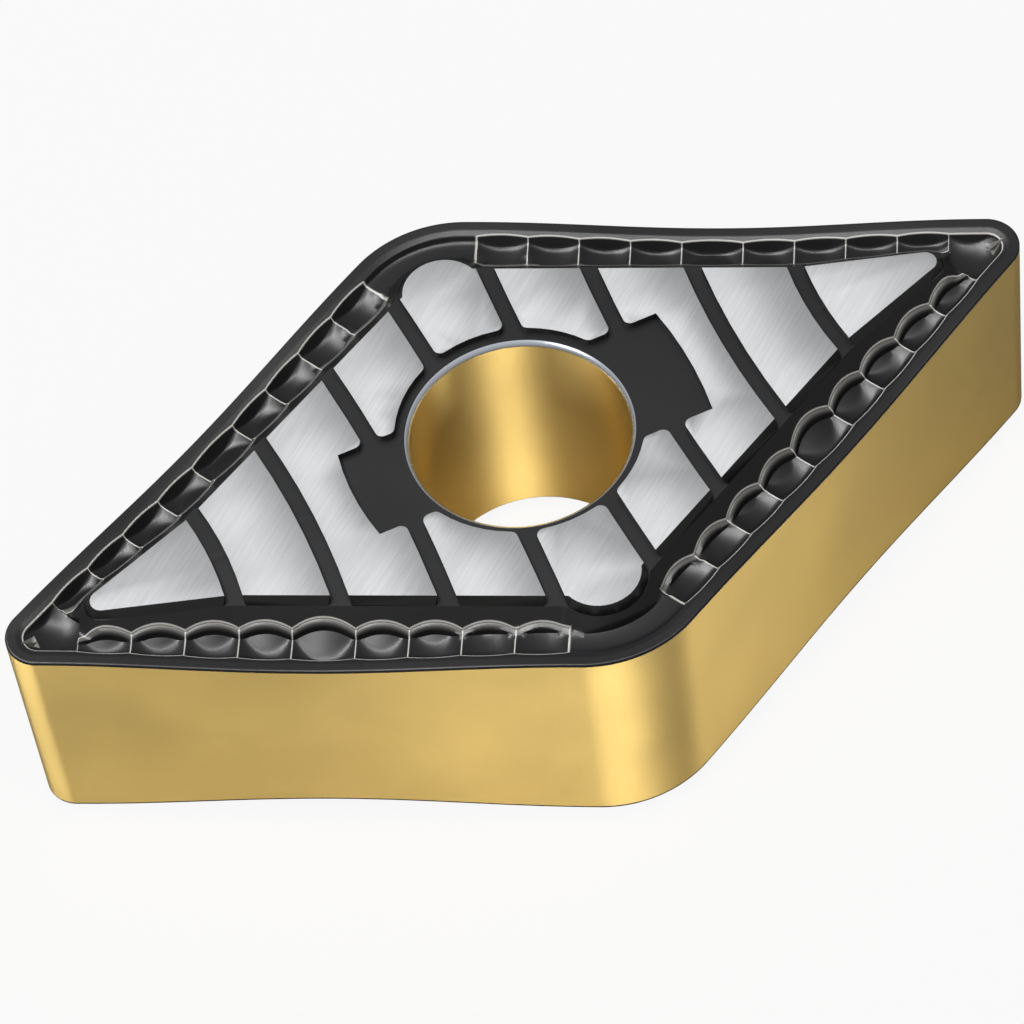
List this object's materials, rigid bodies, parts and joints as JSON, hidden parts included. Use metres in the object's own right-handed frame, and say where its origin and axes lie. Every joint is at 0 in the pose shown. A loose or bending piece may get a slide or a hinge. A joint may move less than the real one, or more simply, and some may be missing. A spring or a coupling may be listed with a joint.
{
  "type": "carbide insert",
  "caption": "Double-sided rhombic turning insert with a chip-breaker groove round both faces, raised ground seats and a clamping hole.",
  "frame": {"origin": "on the axis of the clamping hole, in the plane of the lower seat", "axes": "+Z along the clamping hole, +X along the long diagonal towards a nose, +Y along the short diagonal"},
  "size_m": [0.0256, 0.0136, 0.0067],
  "materials": {
    "gold_coating": "satin hard coating on sintered carbide",
    "black_coating": "satin dark oxide coating on the chip groove",
    "ground_seat": "fine ground seat faces"
  },
  "bodies": {
    "root": {"carbide_insert": "gold_coating"}
  },
  "joints": []
}
